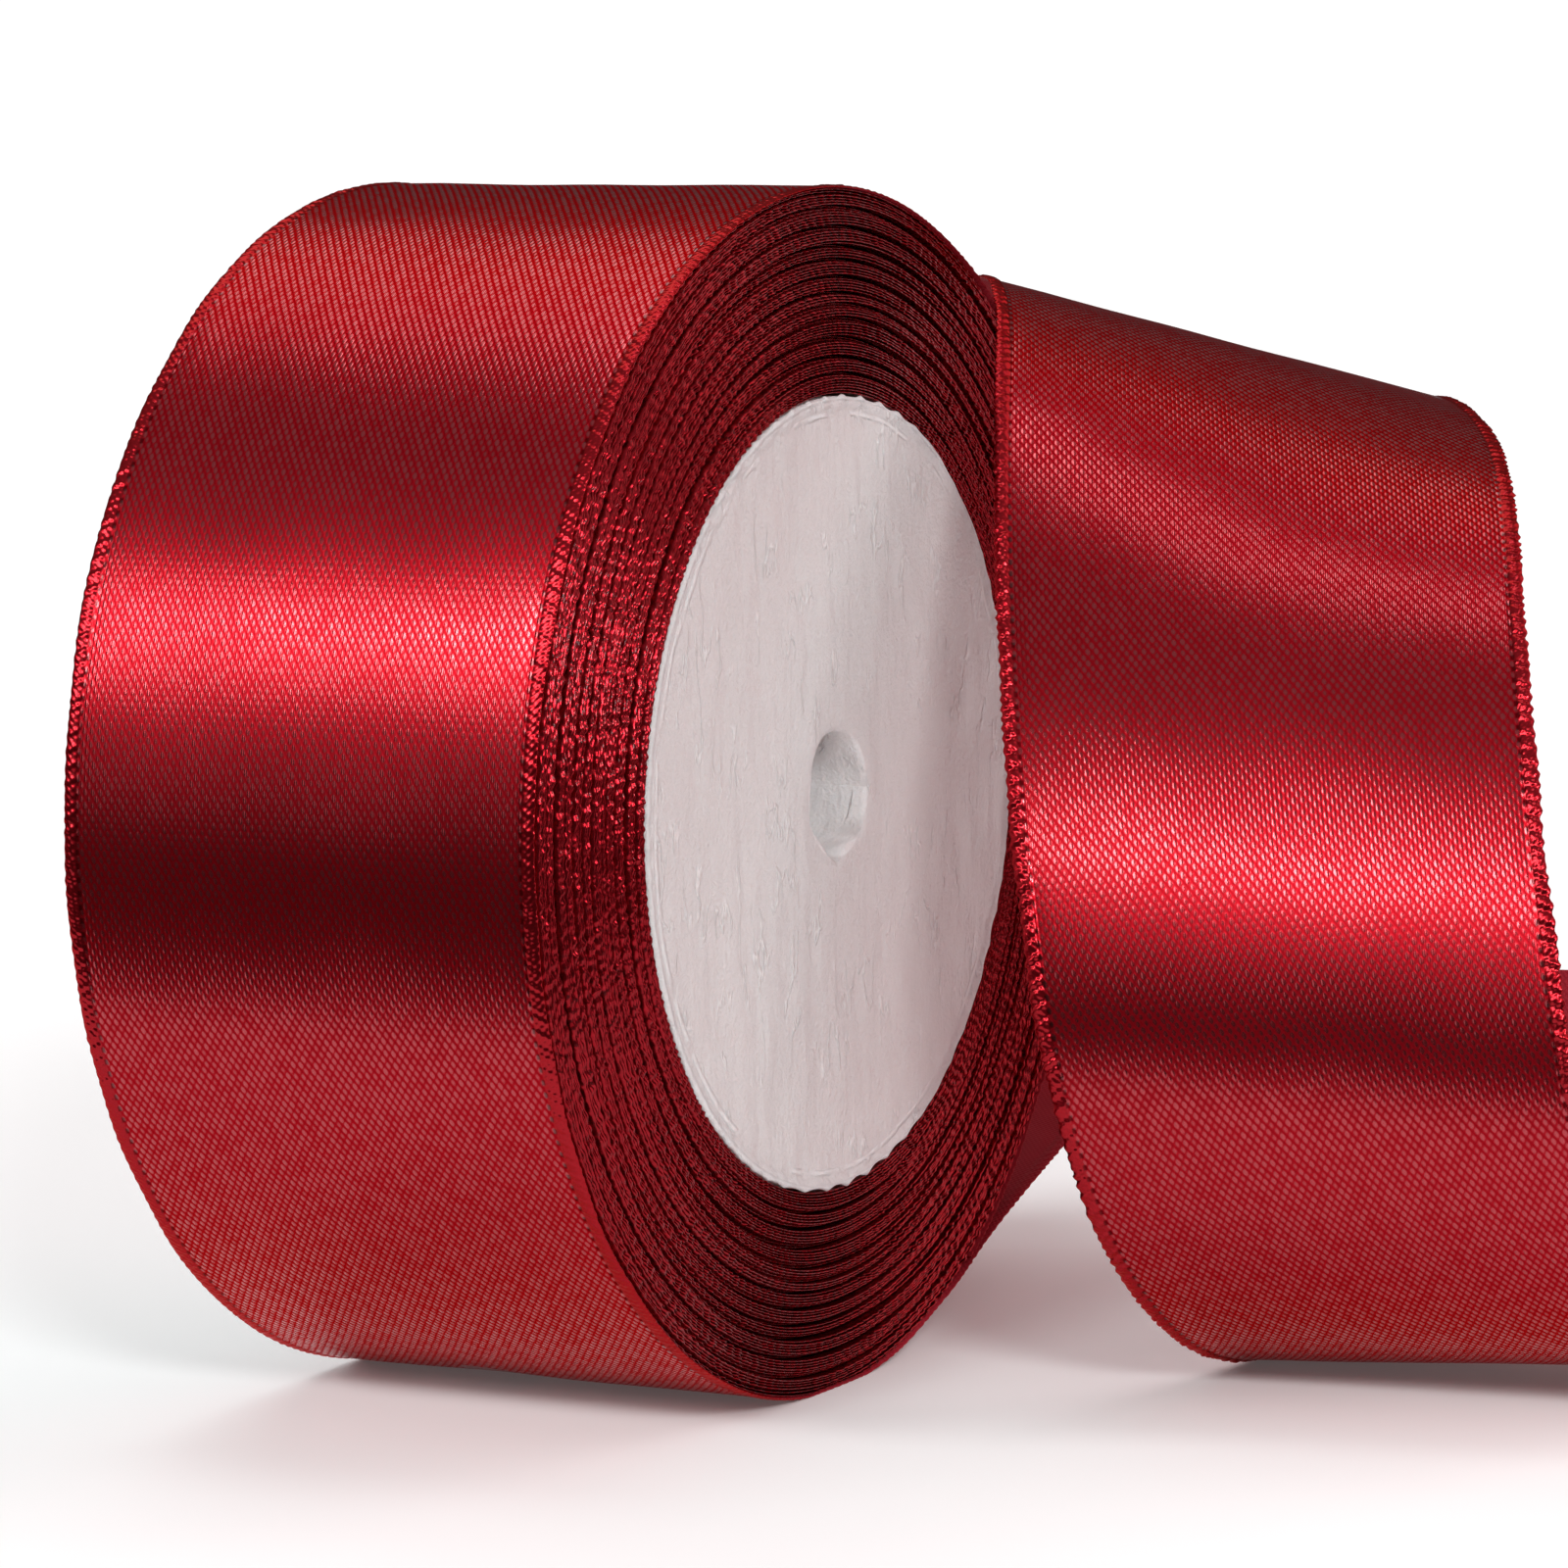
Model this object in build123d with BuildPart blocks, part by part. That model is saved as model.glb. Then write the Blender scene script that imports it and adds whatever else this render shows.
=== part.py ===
"""A roll of satin gift ribbon on a foam core, standing on its rim with its free end curled off to one side.

The roll's axis is Y, +Z is up and the origin is the middle of the core's bore. The ribbon winds
anticlockwise seen from the -Y face, leaves the roll at the bottom right, rises behind it, comes over
in front of it and rolls under again, in one open loop.
"""

from build123d import *
from math import cos, hypot, radians, sin
import os

os.makedirs("parts", exist_ok=True)

# Ribbon and roll, mm
ribbon_width = 38.0
ribbon_thickness = 0.3  # the free end; a lap in the roll packs down to about half of this
roll_radius = 44.5
rim_flat_depth = 0.25  # the soft rim settles a little flat where it stands

# Foam core
core_radius = 29.2
core_proud = 0.4  # the core stands this far out of both ends of the roll
core_length = ribbon_width + 2 * core_proud
core_edge_radius = 0.5
bore_radius = 4.5

# Double-sided tape that holds the ribbon's inner end to the core
tape_thickness = 0.15
tape_length = ribbon_width - 4.0
tape_start_angle = 100.0
tape_end_angle = 124.0

# Wound laps: bundles of about eight laps each, and the last three laps, which the free end belongs to
bundle_count = 12
bundle_gap = 0.05
turn_clearance = 0.1
last_turns_thickness = 0.5
lap_stagger = [0.0, 0.12, -0.05, 0.1, -0.12, 0.08, 0.15, -0.1, 0.06, 0.14, -0.08, 0.1]
bundle_inner_radius = core_radius + tape_thickness
bundle_outer_radius = roll_radius - last_turns_thickness - turn_clearance
bundle_pitch = (bundle_outer_radius - bundle_inner_radius) / bundle_count

# Free end, stretch by stretch from the roll: length in mm, and how far it curls and twists, in degrees
leaving_angle = -70.0
last_turns_gap_angle = 10.0  # the last turns start again this far past the point where the free end leaves
free_stretches = [
    (25, -2, 5),
    (30, 27, -16),
    (30, 60, -29),
    (30, 51, 4),
    (30, 31, -2),
    (30, 32, -24),
    (30, 30, -9),
    (30, 64, -15),
    (30, 62, -2),
    (30, 50, -2),
]
free_length = sum(stretch[0] for stretch in free_stretches)
bend_spread = 24.0  # each bend runs into the next over this length
march_step = 1.0
section_spacing = 6.0

# Where the free end flexes, measured along it from the roll
lift_station = 70.0
end_station = 250.0
flex_gap = 0.4


def turned_by(station, column):
    """Degrees of curl (column 1) or twist (column 2) that the free end has gone through at a station."""
    total = 0.0
    start = 0.0
    for stretch in free_stretches:
        length = stretch[0]
        share = min(max((station - start) / length, 0.0), 1.0)
        total += stretch[column] * share
        start += length
    return total


def bend_rate(station, column):
    """Radians per mm at a station, spread over neighbouring stretches."""
    half = bend_spread / 2
    return radians(turned_by(station + half, column) - turned_by(station - half, column)) / bend_spread


def march_free_end():
    """Frames (place, travel, ruling, inward) every march_step along the middle of the free end."""
    angle = radians(leaving_angle)
    mid_radius = roll_radius - ribbon_thickness / 2
    place = Vector(mid_radius * cos(angle), 0, mid_radius * sin(angle))
    travel = Vector(-sin(angle), 0, cos(angle))
    ruling = Vector(0, -1, 0)
    frames = []
    for step in range(int(free_length / march_step) + 1):
        inward = travel.cross(ruling).normalized() * -1
        frames.append((place, travel, ruling, inward))
        middle = (step + 0.5) * march_step
        next_travel = (travel + inward * (bend_rate(middle, 1) * march_step)).normalized()
        tipped = ruling + inward * (bend_rate(middle, 2) * march_step)
        ruling = (tipped - next_travel * tipped.dot(next_travel)).normalized()
        place = place + (travel + next_travel) * (march_step / 2)
        travel = next_travel
    return frames


free_frames = march_free_end()


def frame_at(station):
    """The frame at a station, between the two nearest marched ones."""
    low = min(int(station / march_step), len(free_frames) - 2)
    share = station / march_step - low
    near = free_frames[low]
    far = free_frames[low + 1]
    return [near[i] + (far[i] - near[i]) * share for i in range(4)]


def section_planes(start, end):
    """Planes across the free end from one station to another, at a regular spacing."""
    spans = max(round((end - start) / section_spacing), 2)
    frames = [frame_at(start + (end - start) * i / spans) for i in range(spans + 1)]
    return [Plane(origin=frame[0], x_dir=frame[2], z_dir=frame[1]) for frame in frames]


def pie_slice(start_angle, end_angle, reach):
    """Corners of a slice from the roll's axis, between two angles in degrees."""
    angles = [radians(start_angle), radians(end_angle)]
    return [(0, 0)] + [(reach * cos(angle), reach * sin(angle)) for angle in angles]


with BuildPart() as foam_core:
    with BuildSketch(Plane.XZ.offset(core_length / 2)):
        Circle(core_radius)
        Circle(bore_radius, mode=Mode.SUBTRACT)
    extrude(amount=-core_length)
    rim_edges = foam_core.edges().filter_by(GeomType.CIRCLE).group_by(SortBy.RADIUS)[-1]
    fillet(rim_edges, core_edge_radius)

foam_core.part.label = "foam_core"
export_step(foam_core.part, "parts/foam_core.step")


with BuildPart() as core_tape:
    with BuildSketch(Plane.XZ.offset(tape_length / 2)):
        Polygon(*pie_slice(tape_start_angle, tape_end_angle, 2 * core_radius), align=None)
        Circle(core_radius + tape_thickness, mode=Mode.INTERSECT)
        Circle(core_radius, mode=Mode.SUBTRACT)
    extrude(amount=-tape_length)

core_tape.part.label = "core_tape"
export_step(core_tape.part, "parts/core_tape.step")


# The wound face is a shallow cone: the laps nearest the core stand as far out as the core does.
for i in range(bundle_count):
    inner_radius = bundle_inner_radius + i * bundle_pitch
    outer_radius = inner_radius + bundle_pitch - bundle_gap
    standing_out = core_proud * (1 - i / (bundle_count - 1)) + lap_stagger[i]
    with BuildPart() as winding:
        with BuildSketch(Plane.XZ.offset(ribbon_width / 2 + standing_out)):
            Circle(outer_radius)
            Circle(inner_radius, mode=Mode.SUBTRACT)
        extrude(amount=-ribbon_width)
    winding.part.label = f"winding_{i + 1:02d}"
    export_step(winding.part, f"parts/{winding.part.label}.step")


with BuildPart() as last_turns:
    with BuildSketch(Plane.XZ.offset(ribbon_width / 2)):
        Circle(roll_radius)
        Circle(roll_radius - last_turns_thickness, mode=Mode.SUBTRACT)
        with Locations((0, -2 * roll_radius + rim_flat_depth)):
            Rectangle(2 * roll_radius, 2 * roll_radius, mode=Mode.SUBTRACT)
        gap_end_angle = leaving_angle + last_turns_gap_angle
        gap_corners = pie_slice(leaving_angle, gap_end_angle, 2 * roll_radius)
        Polygon(*gap_corners, align=None, mode=Mode.SUBTRACT)
    extrude(amount=-ribbon_width)

last_turns.part.label = "last_turns"
export_step(last_turns.part, "parts/last_turns.step")


with BuildPart() as tail_lead:
    for plane in section_planes(0, lift_station - flex_gap / 2):
        with BuildSketch(plane):
            Rectangle(ribbon_width, ribbon_thickness)
    loft()

tail_lead.part.label = "tail_lead"
export_step(tail_lead.part, "parts/tail_lead.step")


with BuildPart() as tail_loop:
    for plane in section_planes(lift_station + flex_gap / 2, end_station - flex_gap / 2):
        with BuildSketch(plane):
            Rectangle(ribbon_width, ribbon_thickness)
    loft()

tail_loop.part.label = "tail_loop"
export_step(tail_loop.part, "parts/tail_loop.step")


with BuildPart() as tail_end:
    for plane in section_planes(end_station + flex_gap / 2, free_length):
        with BuildSketch(plane):
            Rectangle(ribbon_width, ribbon_thickness)
    loft()

tail_end.part.label = "tail_end"
export_step(tail_end.part, "parts/tail_end.step")


# The flex lines of the free end, and the volume that each of its parts should have
for name, station in [("tail_lift", lift_station), ("tail_curl", end_station)]:
    place, travel, ruling, inward = frame_at(station)
    print(name, "at", place, "ruling", ruling, "inward", inward, "radius", hypot(place.X, place.Z))
for part, length in [
    (tail_lead, lift_station - flex_gap / 2),
    (tail_loop, end_station - lift_station - flex_gap),
    (tail_end, free_length - end_station - flex_gap / 2),
]:
    ideal = ribbon_width * ribbon_thickness * length
    print(part.part.label, "volume", round(part.part.volume, 2), "from its section and length", round(ideal, 2))
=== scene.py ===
"""Blender model of a roll of red satin gift ribbon on a white foam core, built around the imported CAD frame.

The roll's axis is Y, +Z is up and the origin is the middle of the core's bore. Shapes are worked out in
millimetres and put into the meshes in metres. Along the ribbon, a station is the distance from the point
where the free end leaves the roll; across it, v runs from -19 mm at the far selvage to 19 mm at the near one.
"""

from math import cos, pi, radians, sin, sqrt

import bpy
import numpy as np
from mathutils import Matrix, Vector


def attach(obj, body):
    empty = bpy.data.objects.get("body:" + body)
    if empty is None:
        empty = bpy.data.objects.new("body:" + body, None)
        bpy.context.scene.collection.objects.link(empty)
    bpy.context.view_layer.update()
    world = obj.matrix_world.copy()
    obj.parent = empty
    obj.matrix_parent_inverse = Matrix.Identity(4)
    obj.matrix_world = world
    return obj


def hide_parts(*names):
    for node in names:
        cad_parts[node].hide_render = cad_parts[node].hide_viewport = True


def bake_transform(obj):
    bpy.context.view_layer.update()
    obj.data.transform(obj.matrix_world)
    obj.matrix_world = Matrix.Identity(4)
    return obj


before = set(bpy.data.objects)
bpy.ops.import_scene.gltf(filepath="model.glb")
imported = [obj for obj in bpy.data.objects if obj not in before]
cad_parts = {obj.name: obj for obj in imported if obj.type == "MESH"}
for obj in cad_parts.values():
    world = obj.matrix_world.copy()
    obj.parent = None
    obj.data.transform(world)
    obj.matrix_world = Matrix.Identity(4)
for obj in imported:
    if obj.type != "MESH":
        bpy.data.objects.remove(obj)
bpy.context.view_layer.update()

MM = 0.001

# Ribbon and roll, as in the CAD model (mm)
RIBBON_WIDTH = 38.0
HALF_WIDTH = RIBBON_WIDTH / 2
FREE_THICKNESS = 0.3
ROLL_RADIUS = 44.5
FLOOR_Z = -44.25
CORE_RADIUS = 29.2
CORE_PROUD = 0.4
CORE_FACE = HALF_WIDTH + CORE_PROUD
BORE_RADIUS = 4.5
TAPE_THICKNESS = 0.15
PACK_OUTER_RADIUS = 43.9
LEAVING_ANGLE = radians(-70.0)

# Free end, stretch by stretch from the roll: length in mm, and how far it curls and twists, in degrees
FREE_STRETCHES = [
    (25, -2, 5),
    (30, 27, -16),
    (30, 60, -29),
    (30, 51, 4),
    (30, 31, -2),
    (30, 32, -24),
    (30, 30, -9),
    (30, 64, -15),
    (30, 62, -2),
    (30, 50, -2),
]
FREE_LENGTH = sum(stretch[0] for stretch in FREE_STRETCHES)
BEND_SPREAD = 24.0

# Where the free end is divided into pieces; the arch and the tip are attached to bodies of their own
RISE_START = 45.0
ARCH_START = 110.0
FOOT_START = 225.0
TIP_START = 275.0

# Room that the pack has to turn in, on each side of its outer radius
SLIP_ROOM = 0.03

# Laps of the pack; each climbs on the one under it over the last share of its turn
BUNDLES = 12
LAPS_PER_BUNDLE = 6
LAPS = BUNDLES * LAPS_PER_BUNDLE
LAP_PITCH = (PACK_OUTER_RADIUS - SLIP_ROOM - CORE_RADIUS - TAPE_THICKNESS) / LAPS
FIRST_LAP_RADIUS = CORE_RADIUS + TAPE_THICKNESS + LAP_PITCH / 2
LAP_START_ANGLE = radians(-60.0)
LAP_CLIMB = 0.1
ROWS_PER_TURN = 1600

# Last turns: two under the outermost one
INNER_TURNS = 2
INNER_TUCK = 0.15
FIRST_INNER_RADIUS = 44.05
SECOND_INNER_RADIUS = 44.19
OUTER_LAP_START_RADIUS = 44.31
OUTER_LAP_END_RADIUS = 44.43
LAST_TURNS_BORE = 44.0
SETTLED_SHARE = 0.64

# Ribbon seen from close up
ROW_SPACING = 0.2
BODY_THICKNESS = 0.14
SELVAGE_WIDTH = 1.1
BEAD_PITCH = 0.98

# Ribbon laps seen edge on; the far side of the roll is the tidier one
HALF_EDGE_THICKNESS = 0.095
LOOP_SIZE = 0.045
FAR_SHARE = 0.4

# Edge of a wound lap, from its outer side over its tip to its inner one: share of half its thickness, and mm
# below the tip. Further in, the lap is as thick as the pitch and lies tight on the one under it.
LAP_OUTER_DEPTH = 0.45
LAP_EDGE = [(0.4, 0.19), (-0.45, 0.045), (-1.0, 0.0)]
LAP_INNER_DEPTH = 0.2

# The woven face: floats and selvage threads in cycles per mm, and the row of holes in mm from the edge
WEAVE_ACROSS = 1.6
WEAVE_ALONG = 1.05
SELVAGE_THREADS = 1.75
HOLE_ROW = 1.12


# ---------------------------------------------------------------- shapes


def smoothstep(value):
    """0 below 0, 1 above 1, and smooth in between."""
    t = np.clip(value, 0.0, 1.0)
    return t * t * (3 - 2 * t)


def wander(seed, shortest, longest, count=9):
    """A smooth random curve of unit size, as a function of a length in mm."""
    rng = np.random.default_rng(seed)
    waves = 2 * pi / np.exp(rng.uniform(np.log(shortest), np.log(longest), count))
    phases = rng.uniform(0, 2 * pi, count)

    def curve(x):
        x = np.asarray(x, float)
        return sum(np.cos(k * x + p) for k, p in zip(waves, phases)) / sqrt(count / 2)

    return curve


def grain(seed, size_x, size_y, count=14):
    """A smooth random field of about unit size, with features of the given sizes in mm."""
    rng = np.random.default_rng(seed)
    kx = rng.normal(0, 2 * pi / size_x / 2, count)
    ky = rng.normal(0, 2 * pi / size_y / 2, count)
    phases = rng.uniform(0, 2 * pi, count)

    def field(x, y):
        total = np.zeros(np.broadcast(x, y).shape)
        for i in range(count):
            total += np.cos(kx[i] * x + ky[i] * y + phases[i])
        return total / sqrt(count / 2)

    return field


def turned_by(station, column):
    """Degrees of curl (column 1) or twist (column 2) that the free end has gone through at a station."""
    total = 0.0
    start = 0.0
    for stretch in FREE_STRETCHES:
        share = min(max((station - start) / stretch[0], 0.0), 1.0)
        total += stretch[column] * share
        start += stretch[0]
    return total


def bend_rate(station, column):
    """Radians per mm at a station, spread over neighbouring stretches."""
    half = BEND_SPREAD / 2
    return radians(turned_by(station + half, column) - turned_by(station - half, column)) / BEND_SPREAD


def march_free_end():
    """Stations, places, rulings and outward directions along the middle of the free end."""
    mid_radius = ROLL_RADIUS - FREE_THICKNESS / 2
    place = Vector((mid_radius * cos(LEAVING_ANGLE), 0, mid_radius * sin(LEAVING_ANGLE)))
    travel = Vector((-sin(LEAVING_ANGLE), 0, cos(LEAVING_ANGLE)))
    ruling = Vector((0, -1, 0))
    rows = []
    for step in range(round(FREE_LENGTH / ROW_SPACING) + 1):
        inward = -travel.cross(ruling).normalized()
        rows.append((place, ruling, -inward))
        middle = (step + 0.5) * ROW_SPACING
        next_travel = (travel + inward * (bend_rate(middle, 1) * ROW_SPACING)).normalized()
        tipped = ruling + inward * (bend_rate(middle, 2) * ROW_SPACING)
        ruling = (tipped - next_travel * tipped.dot(next_travel)).normalized()
        place = place + (travel + next_travel) * (ROW_SPACING / 2)
        travel = next_travel
    stations = np.arange(len(rows)) * ROW_SPACING
    return stations, *(np.array([tuple(row[i]) for row in rows]) for i in range(3))


def roll_rows(start_angle, end_angle, start_radius, end_radius):
    """Rows of one wound stretch: places on the middle line, rulings and outward directions."""
    length = (end_angle - start_angle) * (start_radius + end_radius) / 2
    angles = np.linspace(start_angle, end_angle, round(length / ROW_SPACING) + 1)
    radii = np.linspace(start_radius, end_radius, len(angles))
    outward = np.stack([np.cos(angles), np.zeros(len(angles)), np.sin(angles)], -1)
    rulings = np.tile((0.0, -1.0, 0.0), (len(angles), 1))
    return outward * radii[:, None], rulings, outward


def settle(points):
    """The last turns are pressed flat between the pack and the floor where the roll stands."""
    free_radius = np.hypot(points[..., 0], points[..., 2])
    squeezed = PACK_OUTER_RADIUS + SLIP_ROOM + (free_radius - LAST_TURNS_BORE) * SETTLED_SHARE
    points[..., 2] = np.maximum(points[..., 2], -np.minimum(squeezed, -FLOOR_Z))
    return points


# ---------------------------------------------------------------- meshes


def signed_volume(points, quads):
    a, b, c, d = (points[quads[:, i]] for i in range(4))
    return float((a * np.cross(b, c)).sum() + (a * np.cross(c, d)).sum()) / 6


def new_object(name, points, quads, flat_faces, material_index, uv, materials):
    """A mesh object from points in mm and quads; uv is given per point, in mm across and along."""
    if signed_volume(points, quads) < 0:
        quads = quads[:, ::-1]
    mesh = bpy.data.meshes.new(name)
    mesh.vertices.add(len(points))
    mesh.vertices.foreach_set("co", (points * MM).astype(np.float32).ravel())
    mesh.loops.add(quads.size)
    mesh.loops.foreach_set("vertex_index", quads.astype(np.int32).ravel())
    mesh.polygons.add(len(quads))
    mesh.polygons.foreach_set("loop_start", np.arange(len(quads), dtype=np.int32) * 4)
    mesh.polygons.foreach_set("material_index", material_index.astype(np.int32))
    mesh.polygons.foreach_set("use_smooth", ~flat_faces)
    if uv is not None:
        layer = mesh.uv_layers.new(name="weave")
        layer.data.foreach_set("uv", uv[quads.ravel()].astype(np.float32).ravel())
    for material in materials:
        mesh.materials.append(material)
    mesh.update(calc_edges=True)
    edge_of_corner = np.empty(len(mesh.loops), np.int32)
    mesh.loops.foreach_get("edge_index", edge_of_corner)
    sharp = np.zeros(len(mesh.edges), bool)
    sharp[edge_of_corner.reshape(-1, 4)[flat_faces]] = True
    mesh.edges.foreach_set("use_edge_sharp", sharp)
    made = bpy.data.objects.new(name, mesh)
    bpy.context.scene.collection.objects.link(made)
    return made


def band_quads(rows, around, closed=False):
    """Quads between neighbouring rings of points; closed also joins the last ring to the first."""
    steps = np.arange(rows if closed else rows - 1)
    first = steps[:, None] * around
    second = ((steps + 1) % rows)[:, None] * around
    here = np.arange(around)[None, :]
    after = (here + 1) % around
    return np.stack([first + here, first + after, second + after, second + here], -1).reshape(-1, 4)


def strip_object(name, rings, across, along, materials):
    """A closed thin strip. Each ring goes across the outer side and back across the inner, duller one."""
    rows, around = rings.shape[:2]
    half = around // 2
    ends = np.arange(half - 1)
    cap = np.stack([ends + 1, ends, around - 1 - ends, around - 2 - ends], -1)
    far_cap = cap[:, ::-1] + (rows - 1) * around
    quads = np.concatenate([band_quads(rows, around), cap, far_cap])
    sides = (rows - 1) * around
    index = np.zeros(len(quads), int)
    if len(materials) > 1:
        inner = (np.arange(around) >= half) & (np.arange(around) < around - 1)
        index[:sides] = np.tile(inner, rows - 1)
    flat = np.arange(len(quads)) >= sides
    uv = np.stack(np.broadcast_arrays(across, along[:, None]), -1)
    return new_object(name, rings.reshape(-1, 3), quads, flat, index, uv.reshape(-1, 2), materials)


def bead(station, seed):
    """How far the selvage swells at a station: one bead for each turn of the edge thread."""
    drift = wander(seed, 5.0, 60.0)(station) * 0.28
    size = 1 + 0.35 * wander(seed + 1, 1.5, 9.0)(station)
    return np.cos(2 * pi * station / BEAD_PITCH + 2 * pi * drift) * size


# Places of the mesh's columns across the ribbon: close together at the selvages
FROM_SELVAGE = np.array([0.0, 0.07, 0.25, 0.5, 0.75, 0.95, 1.1, 1.4])
INNER_COLUMNS = np.linspace(-16.5, 16.5, 15)
ACROSS = np.concatenate([FROM_SELVAGE - HALF_WIDTH, INNER_COLUMNS, HALF_WIDTH - FROM_SELVAGE[::-1]])


def ribbon_strip(name, stations, places, rulings, outward, inner_swell, materials, on_roll=False):
    """A stretch of ribbon with corded, beaded selvages, around its middle line."""
    v = ACROSS[None, :]
    from_edge = HALF_WIDTH - np.abs(v)
    # Selvages: a cord with beads, pressed flatter where the ribbon lies on the roll, and a groove beside it
    cord = np.clip(1 - ((from_edge - SELVAGE_WIDTH / 2) / (SELVAGE_WIDTH / 2)) ** 2, 0, 1) ** 0.5
    near = np.broadcast_to(v > 0, (len(stations), v.shape[1]))
    lean = 0.55 * from_edge
    beads = np.where(near, bead(stations[:, None] + lean, 11), bead(stations[:, None] + lean, 23))
    freed = 0.45 + 0.55 * smoothstep((stations[:, None] - 5.0) / 40.0)
    groove = 0.05 * np.exp(-(((from_edge - SELVAGE_WIDTH - 0.05) / 0.16) ** 2))
    swell = freed * cord * (0.13 + 0.075 * beads) - groove
    # The body ripples a little, and its edges wander
    ripple = 0.035 * grain(31, 9.0, 14.0)(v, stations[:, None]) * smoothstep((from_edge - 1) / 4)
    edge = np.sign(v) * (0.08 * freed * beads + 0.05 * wander(47, 8.0, 40.0)(stations)[:, None])
    edge = edge * smoothstep(1 - from_edge / 0.7)
    top = BODY_THICKNESS / 2 + swell + ripple
    bottom = -BODY_THICKNESS / 2 - swell * inner_swell[:, None] + ripple * (0.0 if on_roll else 1.0)
    # The outermost threads are thinner
    rim = np.clip(from_edge / 0.25, 0.35, 1.0)
    middle = (top + bottom) / 2
    top = middle + (top - middle) * rim
    bottom = middle + (bottom - middle) * rim
    flat = places[:, None] + rulings[:, None] * (v + edge)[..., None]
    shiny = flat + outward[:, None] * top[..., None]
    dull = flat + outward[:, None] * bottom[..., None]
    rings = np.concatenate([shiny, dull[:, ::-1]], 1)
    if on_roll:
        rings = settle(rings)
    across = np.concatenate([ACROSS, ACROSS[::-1]])
    return strip_object(name, rings, across, stations, materials)


# ---------------------------------------------------------------- node helpers


class Nodes:
    """Short calls that add nodes to one material."""

    def __init__(self, name):
        self.material = bpy.data.materials.new(name)
        self.material.use_nodes = True
        self.tree = self.material.node_tree
        self.shader = self.tree.nodes["Principled BSDF"]

    def put(self, socket, value):
        if isinstance(value, bpy.types.NodeSocket):
            self.tree.links.new(value, socket)
        else:
            socket.default_value = value

    def add(self, kind, settings=None, **inputs):
        node = self.tree.nodes.new(kind)
        for key, value in (settings or {}).items():
            setattr(node, key, value)
        for key, value in inputs.items():
            self.put(node.inputs[key.replace("_", " ")], value)
        return node

    def math(self, operation, *values, clamp=False):
        node = self.tree.nodes.new("ShaderNodeMath")
        node.operation = operation
        node.use_clamp = clamp
        for socket, value in zip(node.inputs, values):
            self.put(socket, value)
        return node.outputs[0]

    def ramp(self, factor, low, high, from_value=0.0, to_value=1.0):
        """Smoothly from from_value to to_value as factor goes from low to high."""
        node = self.add("ShaderNodeMapRange", {"interpolation_type": "SMOOTHSTEP"})
        for socket, value in zip(node.inputs, (factor, low, high, from_value, to_value)):
            self.put(socket, value)
        return node.outputs[0]

    def mix(self, factor, low, high):
        node = self.add("ShaderNodeMix", {"data_type": "RGBA"})
        for socket, value in zip((node.inputs[0], node.inputs[6], node.inputs[7]), (factor, low, high)):
            self.put(socket, value)
        return node.outputs[2]

    def noise(self, vector, scale, detail=2.0, roughness=0.5):
        node = self.add("ShaderNodeTexNoise", Vector=vector, Scale=scale, Detail=detail, Roughness=roughness)
        return node.outputs["Fac"]

    def vector(self, x, y, z=0.0):
        return self.add("ShaderNodeCombineXYZ", X=x, Y=y, Z=z).outputs[0]

    def set(self, **values):
        for key, value in values.items():
            self.put(self.shader.inputs[key.replace("_", " ")], value)


def arch(nodes, cycle):
    """0 at both ends of a cycle and 1 in its middle."""
    part = nodes.math("FRACT", cycle)
    centred = nodes.math("MULTIPLY_ADD", part, 2.0, -1.0)
    return nodes.math("SUBTRACT", 1.0, nodes.math("MULTIPLY", centred, centred))


def ribbon_coordinates(nodes):
    """mm across and along the ribbon."""
    uv = nodes.add("ShaderNodeUVMap", {"uv_map": "weave"}).outputs[0]
    parts = nodes.add("ShaderNodeSeparateXYZ", Vector=uv)
    return parts.outputs[0], parts.outputs[1]


def object_mm(nodes):
    """The place on the object, in mm."""
    place = nodes.add("ShaderNodeTexCoord").outputs["Object"]
    return nodes.add("ShaderNodeMapping", Vector=place, Scale=(1000, 1000, 1000)).outputs[0]


def diagonal_floats(nodes, across, along):
    """Crowns of the satin's floats, 0 to about 1.2, on a diagonal lattice and each a little different."""
    crosswise = nodes.math("MULTIPLY", across, WEAVE_ACROSS)
    lengthwise = nodes.math("MULTIPLY", along, WEAVE_ALONG)
    p = nodes.math("SUBTRACT", crosswise, lengthwise)
    q = nodes.math("ADD", crosswise, lengthwise)
    cell = nodes.vector(nodes.math("FLOOR", p), nodes.math("FLOOR", q))
    luck = nodes.add("ShaderNodeTexWhiteNoise", {"noise_dimensions": "2D"}, Vector=cell).outputs["Value"]
    crown = nodes.math("MULTIPLY", arch(nodes, p), nodes.math("MULTIPLY_ADD", arch(nodes, q), 0.6, 0.4))
    return nodes.math("MULTIPLY", crown, nodes.math("MULTIPLY_ADD", luck, 0.4, 0.8))


def leaning_threads(nodes, along, from_edge, lean):
    """Threads of the selvage, leaning one way or the other."""
    slant = nodes.math("MULTIPLY_ADD", from_edge, lean, along)
    return nodes.math("SINE", nodes.math("MULTIPLY", slant, 2 * pi * SELVAGE_THREADS))


def painted_hole_shade(nodes, along, from_edge):
    """The row of small holes between the selvage and the weave, as a mask of painted shade: the holes are
    coloured dark in place of the shade inside them.
    """
    from_row = nodes.math("ABSOLUTE", nodes.math("SUBTRACT", from_edge, HOLE_ROW))
    row = nodes.ramp(from_row, 0.08, 0.2, 1.0, 0.0)
    stitch = nodes.math("COSINE", nodes.math("MULTIPLY", along, 2 * pi / BEAD_PITCH))
    return nodes.math("MULTIPLY", row, nodes.ramp(stitch, -0.2, 0.6))


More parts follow.
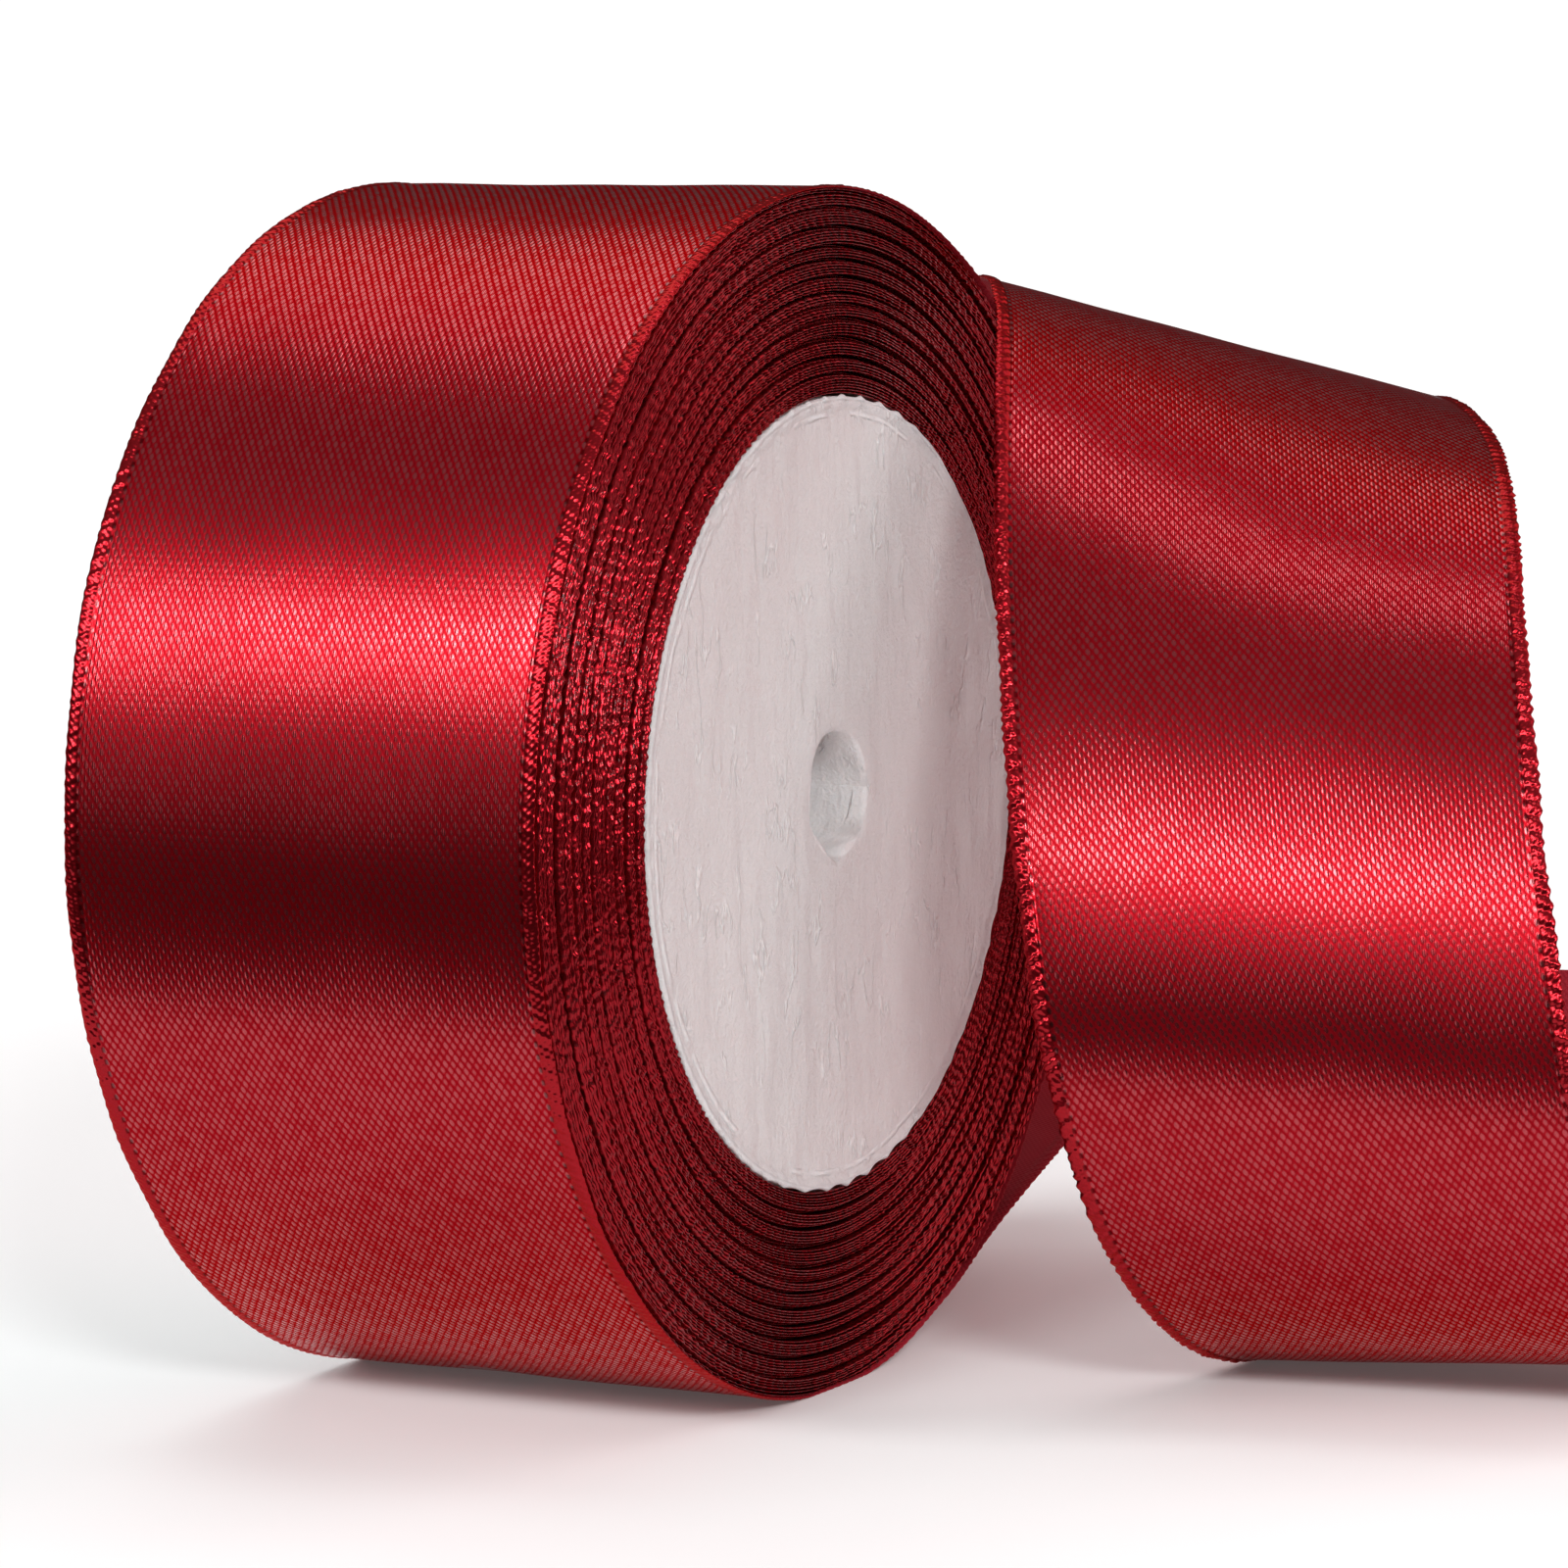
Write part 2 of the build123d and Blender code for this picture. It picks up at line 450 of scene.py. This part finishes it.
def satin_face():
    """The shiny side: glinting floats over a deeper red ground, and a duller corded selvage."""
    nodes = Nodes("satin_face")
    across, along = ribbon_coordinates(nodes)
    from_middle = nodes.math("ABSOLUTE", across)
    from_edge = nodes.math("SUBTRACT", HALF_WIDTH, from_middle)
    selvage = nodes.ramp(from_middle, HALF_WIDTH - 1.2, HALF_WIDTH - 0.95)
    crown = diagonal_floats(nodes, across, along)

    yarns = nodes.math("COSINE", nodes.math("MULTIPLY", across, 2 * pi * 2 * WEAVE_ACROSS))
    floats = nodes.math("MULTIPLY_ADD", yarns, 1.1, crown)
    right_leaning = leaning_threads(nodes, along, from_edge, 0.5)
    left_leaning = leaning_threads(nodes, along, from_edge, -0.9)
    height = nodes.mix(selvage, floats, nodes.math("ADD", right_leaning, left_leaning))
    weave = nodes.add("ShaderNodeBump", Strength=1.0, Distance=0.009 * MM, Height=height).outputs[0]

    drawn_out = nodes.vector(nodes.math("MULTIPLY", across, 2.2), nodes.math("MULTIPLY", along, 0.03))
    ground = nodes.mix(nodes.noise(drawn_out, 1.0), (0.28, 0.002, 0.006, 1), (0.34, 0.0032, 0.0095, 1))
    base = nodes.mix(nodes.mix(selvage, crown, (0.3, 0.3, 0.3, 1)), ground, (0.4, 0.017, 0.027, 1))
    # Painted shade: the row of holes is coloured almost black, standing in for the shade that falls into them
    base = nodes.mix(painted_hole_shade(nodes, along, from_edge), base, (0.13, 0.0015, 0.004, 1))
    glint = nodes.ramp(selvage, 0.0, 1.0, nodes.ramp(crown, 0.4, 0.95, 0.0, 0.85), 0.12)
    roughness = nodes.ramp(selvage, 0.0, 1.0, nodes.ramp(crown, 0.3, 0.8, 0.42, 0.24), 0.28)
    tangent = nodes.add("ShaderNodeTangent", {"direction_type": "UV_MAP", "uv_map": "weave"})
    nodes.set(
        Base_Color=base,
        Metallic=0.96,
        Specular_IOR_Level=0.2,
        Specular_Tint=(1.0, 0.12, 0.15, 1),
        Roughness=roughness,
        Anisotropic=0.6,
        Tangent=tangent.outputs[0],
        Normal=weave,
        Coat_Weight=glint,
        Coat_Roughness=0.14,
        Coat_IOR=1.62,
        Coat_Normal=weave,
    )
    return nodes.material


def satin_back():
    """The dull side: a plain cross weave."""
    nodes = Nodes("satin_back")
    across, along = ribbon_coordinates(nodes)
    wefts = nodes.math("SINE", nodes.math("MULTIPLY", along, 2 * pi * 1.9))
    warps = nodes.math("SINE", nodes.math("MULTIPLY", across, 2 * pi * 2.3))
    height = nodes.math("MULTIPLY", warps, wefts)
    bump = nodes.add("ShaderNodeBump", Strength=1.0, Distance=0.02 * MM, Height=height)
    cloud = nodes.noise(nodes.vector(across, along), 0.35, 3.0)
    base = nodes.mix(cloud, (0.36, 0.016, 0.03, 1), (0.46, 0.026, 0.045, 1))
    nodes.set(Base_Color=base, Specular_IOR_Level=0.15, Roughness=0.6, Normal=bump.outputs[0])
    return nodes.material


def satin_laps():
    """The selvages of the wound laps, seen edge on: specks of light and dark thread, and small beads."""
    nodes = Nodes("satin_laps")
    across, along = ribbon_coordinates(nodes)
    speck = nodes.noise(nodes.vector(nodes.math("MULTIPLY", across, 0.3), along), 1.4, 2.0)
    base = nodes.mix(speck, (0.12, 0.0012, 0.0033, 1), (0.45, 0.013, 0.023, 1))
    beads = nodes.noise(object_mm(nodes), 2.0, 0.0)
    bump = nodes.add("ShaderNodeBump", Strength=1.0, Distance=0.13 * MM, Height=beads)
    nodes.set(
        Base_Color=base,
        Metallic=0.95,
        Specular_IOR_Level=0.2,
        Roughness=0.27,
        Normal=bump.outputs[0],
        Coat_Weight=0.14,
        Coat_Roughness=0.13,
    )
    return nodes.material


def marks_at(nodes, value, centre, sharp_to, soft_to):
    """1 where a value is near its centre, falling to 0 between two distances from it."""
    distance = nodes.math("ABSOLUTE", nodes.math("SUBTRACT", value, centre))
    return nodes.ramp(distance, sharp_to, soft_to, 1.0, 0.0)


def foam():
    """Cut white foam: creases left by the blade, lighter nicks along them, painted highlight lines on the
    rim, painted light on the bore's mouth, and fine pores.
    """
    nodes = Nodes("white_foam")
    in_mm = object_mm(nodes)
    place = nodes.add("ShaderNodeTexCoord").outputs["Object"]
    tilt = (0, radians(10), 0)
    leaning = nodes.add("ShaderNodeMapping", Vector=place, Rotation=tilt, Scale=(1000, 1000, 300)).outputs[0]
    creases = nodes.noise(leaning, 0.5, 3.0)
    patches = nodes.noise(in_mm, 0.22, 3.0)
    pores = nodes.noise(in_mm, 3.2, 2.0)
    nicks = nodes.math("MULTIPLY", marks_at(nodes, creases, 0.5, 0.0, 0.03), nodes.ramp(patches, 0.5, 0.6))

    parts = nodes.add("ShaderNodeSeparateXYZ", Vector=in_mm)
    from_axis = nodes.add("ShaderNodeVectorMath", {"operation": "LENGTH"})
    nodes.put(from_axis.inputs[0], nodes.vector(parts.outputs[0], parts.outputs[2]))
    radius = from_axis.outputs["Value"]
    # Painted highlight: a pale ring at the rim's outer edge, and a second one a little further in, stand in
    # for light catching the rim
    outer_rim_highlight = nodes.ramp(radius, CORE_RADIUS - 0.45, CORE_RADIUS - 0.2)
    whole_inner_rim_highlight = marks_at(nodes, radius, CORE_RADIUS - 1.3, 0.08, 0.3)
    inner_rim_highlight = nodes.math("MULTIPLY", whole_inner_rim_highlight, nodes.ramp(patches, 0.42, 0.55))
    # Painted light: the bore's mouth and its walls are coloured paler, standing in for light inside the
    # hollow
    mouth = nodes.ramp(radius, BORE_RADIUS + 0.1, BORE_RADIUS + 0.35, 1.0, 0.0)
    nicks_and_painted_highlights = nodes.math("MAXIMUM", nicks, nodes.math("MAXIMUM", outer_rim_highlight, inner_rim_highlight))

    height = nodes.math("MULTIPLY_ADD", pores, 0.3, creases)
    height = nodes.math("MULTIPLY_ADD", nicks_and_painted_highlights, 0.4, height)
    bump = nodes.add("ShaderNodeBump", Strength=1.0, Distance=0.5 * MM, Height=height)
    cut = nodes.mix(patches, (0.74, 0.7, 0.695, 1), (0.81, 0.79, 0.785, 1))
    # The nicks take the paler colour as cut marks; the rim rings take it as painted highlight, and the bore's
    # mouth as painted light
    base = nodes.mix(nodes.math("MAXIMUM", nicks_and_painted_highlights, mouth), cut, (0.95, 0.93, 0.925, 1))
    nodes.set(
        Base_Color=base,
        Roughness=0.45,
        Subsurface_Weight=0.45,
        Subsurface_Radius=(1.0, 0.85, 0.8),
        Subsurface_Scale=2.5 * MM,
        Normal=bump.outputs[0],
    )
    return nodes.material


def clear_tape():
    """Milky double-sided tape, a little blotchy."""
    nodes = Nodes("core_tape")
    place = nodes.add("ShaderNodeTexCoord").outputs["Object"]
    blotches = nodes.noise(place, 900.0, 4.0)
    bump = nodes.add("ShaderNodeBump", Strength=0.6, Distance=0.02 * MM, Height=blotches)
    base = nodes.mix(blotches, (0.78, 0.76, 0.68, 1), (0.88, 0.87, 0.82, 1))
    nodes.set(Base_Color=base, Roughness=0.35, Normal=bump.outputs[0])
    return nodes.material


def pale_floor():
    nodes = Nodes("pale_floor")
    nodes.set(
        Base_Color=(0.96, 0.99, 0.99, 1),
        Specular_IOR_Level=0.1,
        Roughness=0.9,
        Emission_Color=(1.0, 1.0, 1.0, 1),
        Emission_Strength=0.06,
    )
    return nodes.material


# ---------------------------------------------------------------- camera, floor and light

# The camera looks along a bearing from +Y towards +X, dropping a little, on a 36 mm sensor
CAMERA_PLACE = (-443.23, -246.58, 59.88)
CAMERA_BEARING = radians(62.4)
CAMERA_DROP = radians(6.77)
CAMERA_ROLL = radians(-0.65)
CAMERA_LENS = 157.04

# Name, bearing from +X towards +Y and elevation in degrees, width in degrees, radiance and colour
WHITE = (1.0, 1.0, 1.0)
PINK = (1.0, 0.7, 0.71)
DIFFUSERS = [
    ("key_front", 146.0, 27.0, 22.0, 11.4, WHITE),
    ("key_middle", 176.0, 33.0, 9.0, 28.0, WHITE),
    ("key_low", 150.0, 6.0, 20.0, 1.1, WHITE),
    ("key_near", 222.0, 27.0, 12.0, 36.0, WHITE),
    ("back_diffuser", 51.0, 53.0, 30.0, 1.6, WHITE),
    ("top_diffuser", 90.0, 84.0, 18.0, 3.6, WHITE),
    ("fill_left", -112.0, 30.0, 50.0, 0.2, WHITE),
    ("fill_right", -48.0, 35.0, 60.0, 1.1, PINK),
]

# The floor starts a little before the roll, on the camera's side, and runs far back (m)
FLOOR_LEFT, FLOOR_RIGHT = -0.088, 6.0
FLOOR_NEAR, FLOOR_FAR = -1.5, 6.0

# The room goes from dim to pale as the upward part of a direction goes from low to high
ROOM_LOW, ROOM_HIGH = 0.1, 0.85
ROOM_DIM, ROOM_PALE = 0.06, 0.33
BACKDROP = 1.1


def aim(direction, roll=0.0):
    """Rotation that looks along a direction, with +Z up, turned by roll about it."""
    forward = Vector(direction).normalized()
    right = forward.cross(Vector((0, 0, 1))).normalized()
    up = right.cross(forward)
    tilted_right = right * cos(roll) + up * sin(roll)
    tilted_up = up * cos(roll) - right * sin(roll)
    return Matrix((tilted_right, tilted_up, -forward)).transposed().to_4x4()


def add_camera():
    data = bpy.data.cameras.new("camera")
    data.sensor_width = 36.0
    data.lens = CAMERA_LENS
    data.clip_start = 0.01
    camera = bpy.data.objects.new("camera", data)
    bpy.context.scene.collection.objects.link(camera)
    forward = (
        sin(CAMERA_BEARING) * cos(CAMERA_DROP),
        cos(CAMERA_BEARING) * cos(CAMERA_DROP),
        -sin(CAMERA_DROP),
    )
    place = Vector(CAMERA_PLACE) * MM
    camera.matrix_world = Matrix.Translation(place) @ aim(forward, CAMERA_ROLL)
    bpy.context.scene.camera = camera


def add_diffuser(name, bearing, elevation, width, radiance, color):
    """A round diffuser so far away that it lights the floor evenly."""
    data = bpy.data.lights.new(name, "SUN")
    data.angle = radians(width)
    data.energy = radiance * 2 * pi * (1 - cos(radians(width / 2)))
    data.color = color
    light = bpy.data.objects.new(name, data)
    bpy.context.scene.collection.objects.link(light)
    a, e = radians(bearing), radians(elevation)
    light.matrix_world = aim((-cos(a) * cos(e), -sin(a) * cos(e), -sin(e)))


def add_floor(material):
    mesh = bpy.data.meshes.new("floor")
    corners = [
        (FLOOR_LEFT, FLOOR_NEAR, 0),
        (FLOOR_RIGHT, FLOOR_NEAR, 0),
        (FLOOR_RIGHT, FLOOR_FAR, 0),
        (FLOOR_LEFT, FLOOR_FAR, 0),
    ]
    mesh.from_pydata(corners, [], [(0, 1, 2, 3)])
    mesh.materials.append(material)
    floor = bpy.data.objects.new("floor", mesh)
    floor.location.z = FLOOR_Z * MM
    bpy.context.scene.collection.objects.link(floor)


def set_world():
    """A dim room, paler overhead; the camera itself sees a white backdrop past the floor's edge."""
    world = bpy.data.worlds.new("studio")
    world.use_nodes = True
    tree = world.node_tree
    background = tree.nodes["Background"]
    background.inputs["Color"].default_value = (1, 1, 1, 1)
    place = tree.nodes.new("ShaderNodeTexCoord")
    parts = tree.nodes.new("ShaderNodeSeparateXYZ")
    tree.links.new(place.outputs["Generated"], parts.inputs[0])
    room = tree.nodes.new("ShaderNodeMapRange")
    room.interpolation_type = "SMOOTHSTEP"
    for socket, value in zip(room.inputs[1:5], (ROOM_LOW, ROOM_HIGH, ROOM_DIM, ROOM_PALE)):
        socket.default_value = value
    tree.links.new(parts.outputs[2], room.inputs["Value"])
    ray = tree.nodes.new("ShaderNodeLightPath")
    strength = tree.nodes.new("ShaderNodeMix")
    strength.inputs["B"].default_value = BACKDROP
    tree.links.new(ray.outputs["Is Camera Ray"], strength.inputs["Factor"])
    tree.links.new(room.outputs[0], strength.inputs["A"])
    tree.links.new(strength.outputs[0], background.inputs["Strength"])
    bpy.context.scene.world = world


add_camera()
set_world()
add_floor(pale_floor())
for diffuser in DIFFUSERS:
    add_diffuser(*diffuser)
bpy.context.scene.view_settings.view_transform = "Standard"


# ---------------------------------------------------------------- the wound pack


def band_offsets():
    """How far each lap's near selvage stands out, and how deep it is sunken where two bands of laps meet."""
    rng = np.random.default_rng(7)
    offsets = []
    depths = []
    while len(offsets) < LAPS + 1:
        count = int(rng.integers(4, 8))
        shift = rng.normal(0, 0.1)
        sunken = rng.uniform(0.5, 1.0) if offsets else 0.0
        for k in range(count):
            u = 2 * (k + 0.5) / count - 1
            offsets.append(shift - 0.3 * abs(u) ** 2.5 + rng.normal(0, 0.08))
            depths.append(sunken * {0: 1.0, count - 1: 0.3}.get(k, 0.0))
    return np.array(offsets[: LAPS + 1]), np.array(depths[: LAPS + 1])


LAP_OFFSETS, LAP_SUNKEN = band_offsets()


def loops_field(seed):
    """Beads on the wound selvages: bumps that a few neighbouring laps share."""
    rng = np.random.default_rng(seed)
    waves = rng.integers(180, 320, 12)
    lean = rng.normal(0, 0.75, 12)
    phases = rng.uniform(0, 2 * pi, 12)

    def field(turn, angle):
        total = np.zeros(len(turn))
        for i in range(12):
            total += np.cos(waves[i] * angle + 2 * pi * lean[i] * turn / 4 + phases[i])
        return total / sqrt(6)

    return field


near_loops = loops_field(3)
far_loops = loops_field(5)


def lap_shift(turn, angle):
    """Axial shift of the ribbon towards the near side at each row of the pack."""
    lap = np.minimum(np.floor(turn).astype(int), LAPS - 1)
    step = smoothstep((turn - lap - 1 + LAP_CLIMB) / LAP_CLIMB)
    level = LAP_OFFSETS[lap] * (1 - step) + LAP_OFFSETS[lap + 1] * step
    sunken = LAP_SUNKEN[lap] * (1 - step) + LAP_SUNKEN[lap + 1] * step
    fade = 1 - 0.6 * smoothstep((np.cos(angle + radians(18)) - 0.55) / 0.3)
    cone = CORE_PROUD * (1 - turn / LAPS)
    sway = 0.06 * np.cos(angle * 2 + turn * 0.35) + 0.05 * np.cos(angle * 3 - turn * 0.2)
    return cone + level - sunken * fade + sway


def lap_strip(name, start_turn, turns, radius_at, shift_at, material, tuck=0.0, settled=False):
    """Laps wound one on the other, plain between their selvages. Returns the piece and its length in mm."""
    turn = start_turn + np.arange(turns * ROWS_PER_TURN + 1) / ROWS_PER_TURN
    angle = LAP_START_ANGLE + 2 * pi * turn
    radius = radius_at(turn)
    outward = np.stack([np.cos(angle), np.zeros(len(angle)), np.sin(angle)], -1)
    shift = shift_at(turn, angle)
    near = near_loops(turn, angle)
    far = far_loops(turn, angle)
    near_tip = tuck - HALF_WIDTH - shift - LOOP_SIZE * near
    far_tip = HALF_WIDTH - tuck - FAR_SHARE * shift + LOOP_SIZE * far
    half_near = HALF_EDGE_THICKNESS * (0.86 + 0.14 * np.clip(near, -1, 1))
    half_far = HALF_EDGE_THICKNESS * (0.86 + 0.14 * np.clip(far, -1, 1))
    profile = [
        (LAP_PITCH / 2, far_tip - LAP_OUTER_DEPTH),
        *((share * half_far, far_tip - depth) for share, depth in LAP_EDGE),
        (-LAP_PITCH / 2, far_tip - LAP_INNER_DEPTH),
        (-LAP_PITCH / 2, near_tip + LAP_INNER_DEPTH),
        *((share * half_near, near_tip + depth) for share, depth in reversed(LAP_EDGE)),
        (LAP_PITCH / 2, near_tip + LAP_OUTER_DEPTH),
    ]
    ring = []
    for lift, y in profile:
        point = outward * (radius + lift)[:, None]
        point[:, 1] = y
        ring.append(point)
    rings = np.stack(ring, 1)
    if settled:
        rings = settle(rings)
    length = float(np.mean(radius) * 2 * pi * turns)
    along = (turn - start_turn) * 2 * pi * radius
    depths = np.array([LAP_OUTER_DEPTH, *(depth for share, depth in LAP_EDGE), LAP_INNER_DEPTH])
    across = np.concatenate([depths - HALF_WIDTH, HALF_WIDTH - depths[::-1]])
    return strip_object(name, rings, across, along, [material]), length


def laps_below(turn):
    """How many laps lie under each row: each lap keeps one radius, then climbs at the end of its turn."""
    lap = np.floor(turn)
    return lap + smoothstep((turn - lap - 1 + LAP_CLIMB) / LAP_CLIMB)


def pack_radius(turn):
    return FIRST_LAP_RADIUS + LAP_PITCH * np.minimum(laps_below(turn), LAPS - 1)


laps_material = satin_laps()
for bundle in range(BUNDLES):
    piece, length = lap_strip(
        f"satin_laps_{bundle + 1:02d}",
        bundle * LAPS_PER_BUNDLE,
        LAPS_PER_BUNDLE,
        pack_radius,
        lap_shift,
        laps_material,
    )
    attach(piece, "spool")
    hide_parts(f"winding_{bundle + 1:02d}")


# ---------------------------------------------------------------- the last turns


def inner_radius(turn):
    first = FIRST_INNER_RADIUS + (SECOND_INNER_RADIUS - FIRST_INNER_RADIUS) * laps_below(turn)
    second = SECOND_INNER_RADIUS + (OUTER_LAP_START_RADIUS - SECOND_INNER_RADIUS) * (turn - 1)
    return np.where(turn < 1, first, second)


def inner_shift(turn, angle):
    return 0.05 * np.cos(angle + 0.7) - 0.16 + 0.12 * np.cos(angle * 2 + 2.0 * turn)


inner_piece, inner_length = lap_strip(
    "satin_inner_turns",
    0,
    INNER_TURNS,
    inner_radius,
    inner_shift,
    laps_material,
    tuck=INNER_TUCK,
    settled=True,
)
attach(inner_piece, "free_ribbon")


# ---------------------------------------------------------------- the outermost lap and the free end

ribbon_materials = [satin_face(), satin_back()]
free_stations, free_places, free_rulings, free_outward = march_free_end()
# The free end starts where the outermost lap ends, and is on its own line 40 mm further on
end_step = OUTER_LAP_END_RADIUS - (ROLL_RADIUS - FREE_THICKNESS / 2)
lift_off = end_step * (1 - smoothstep(free_stations / 40.0))
free_places = free_places + free_outward * lift_off[:, None]

OUTER_LAP_END_ANGLE = LEAVING_ANGLE + 2 * pi
wound_places, wound_rulings, wound_outward = roll_rows(
    LAP_START_ANGLE, OUTER_LAP_END_ANGLE, OUTER_LAP_START_RADIUS, OUTER_LAP_END_RADIUS
)
wound_length = (OUTER_LAP_END_ANGLE - LAP_START_ANGLE) * (OUTER_LAP_START_RADIUS + OUTER_LAP_END_RADIUS) / 2
wound_stations = np.linspace(-wound_length, 0, len(wound_places))


def free_rows(start, end):
    rows = slice(round(start / ROW_SPACING), round(end / ROW_SPACING) + 1)
    return free_stations[rows], free_places[rows], free_rulings[rows], free_outward[rows]


def inner_swell_at(stations):
    """The selvage swells outwards only where the ribbon lies on the roll, and both ways where it is free."""
    return 0.6 * smoothstep((stations - 2.0) / 25.0)


def outer_lap():
    lead = free_rows(ROW_SPACING, RISE_START)
    wound = (wound_stations, wound_places, wound_rulings, wound_outward)
    rows = [np.concatenate(pair) for pair in zip(wound, lead)]
    piece = ribbon_strip("satin_outer_lap", *rows, inner_swell_at(rows[0]), ribbon_materials, on_roll=True)
    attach(piece, "free_ribbon")
    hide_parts("last_turns", "tail_lead")


def free_piece(name, start, end):
    rows = free_rows(start, end)
    piece = ribbon_strip(name, *rows, inner_swell_at(rows[0]), ribbon_materials)
    return piece


def blend_across(piece, direction):
    """Bakes a piece's placement into its mesh; the piece is not attached to any body."""
    direction = np.array(direction) / np.linalg.norm(direction)
    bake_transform(piece)


outer_lap()
rise = free_piece("satin_rise", RISE_START, ARCH_START)
blend_across(rise, (0.056, -0.332, 0.94))
arch_piece = free_piece("satin_arch", ARCH_START, FOOT_START)
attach(arch_piece, "tail_loop")
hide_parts("tail_loop")
foot = free_piece("satin_foot", FOOT_START, TIP_START)
blend_across(foot, (1.0, 0.0, 0.0))
tip = free_piece("satin_tip", TIP_START, FREE_LENGTH)
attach(tip, "tail_end")
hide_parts("tail_end")


# ---------------------------------------------------------------- foam core


# The core's rim, from its outer edge inwards: mm in from the edge, and mm out from the face
CORE_RIM = [
    (0.0, -0.25),
    (0.04, -0.12),
    (0.18, -0.01),
    (0.35, 0.08),
    (0.7, 0.07),
    (0.9, -0.08),
    (1.25, -0.09),
]


def foam_core_block():
    """A cut foam cylinder with a bore: streaky faces, a nicked rim and a torn mouth."""
    around = 720
    angles = np.arange(around) * 2 * pi / around
    arc = angles * CORE_RADIUS
    nick = wander(61, 6.0, 40.0)(arc)
    scallop = wander(67, 4.0, 12.0)(arc)
    streak = grain(71, 1.3, 5.0, 22)
    dent = grain(73, 4.0, 8.0)
    edge = CORE_RADIUS + 0.16 + 0.04 * nick - 0.2 * np.abs(scallop)

    def face_ring(radius, y_sign, lift):
        x, z = radius * np.cos(angles), radius * np.sin(angles)
        rise = 0.03 * streak(x + 0.2 * z, z) + 0.06 * dent(x, z)
        fade = smoothstep((CORE_RADIUS - radius) / 1.5) * smoothstep((radius - BORE_RADIUS) / 1.0)
        y = y_sign * (CORE_FACE + lift + rise * fade - 0.05)
        return np.stack([x, y, z], -1)

    def mouth_radius(depth):
        """The bore's edge, torn at the mouth and round further in."""
        torn = 0.18 * wander(79, 4.0, 25.0)(angles * BORE_RADIUS) * (1 - smoothstep(depth / 6))
        point = 0.5 * np.exp(-(((angles - 1.5 * pi) / 0.22) ** 2)) * (1 - smoothstep(depth / 8))
        return BORE_RADIUS + torn + point

    side = [(np.full(around, CORE_RADIUS - 0.1), lift) for lift in (-2.0, -0.35)]
    side += [(edge - inset, lift) for inset, lift in CORE_RIM]
    side += [(np.full(around, r), 0.0) for r in np.linspace(CORE_RADIUS - 1.8, BORE_RADIUS + 1.2, 48)]
    side.append((mouth_radius(0.0) + 0.35, 0.0))
    side.append((mouth_radius(0.0) + 0.08, -0.1))
    side += [(mouth_radius(depth), -depth) for depth in (0.3, 1.0, 2.5, 5.0, 8.0)]
    near_rings = [face_ring(radius, -1.0, lift) for radius, lift in side]
    far_rings = [face_ring(radius, 1.0, lift) for radius, lift in reversed(side)]
    block = np.stack(near_rings + far_rings)
    quads = band_quads(len(block), around, closed=True)
    points = block.reshape(-1, 3)
    flat_faces = np.zeros(len(quads), bool)
    material_index = np.zeros(len(quads), int)
    piece = new_object("foam_core_block", points, quads, flat_faces, material_index, None, [foam()])
    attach(piece, "spool")
    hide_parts("foam_core")


foam_core_block()
tape_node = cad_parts["core_tape"]
tape_node.material_slots[0].material = clear_tape()
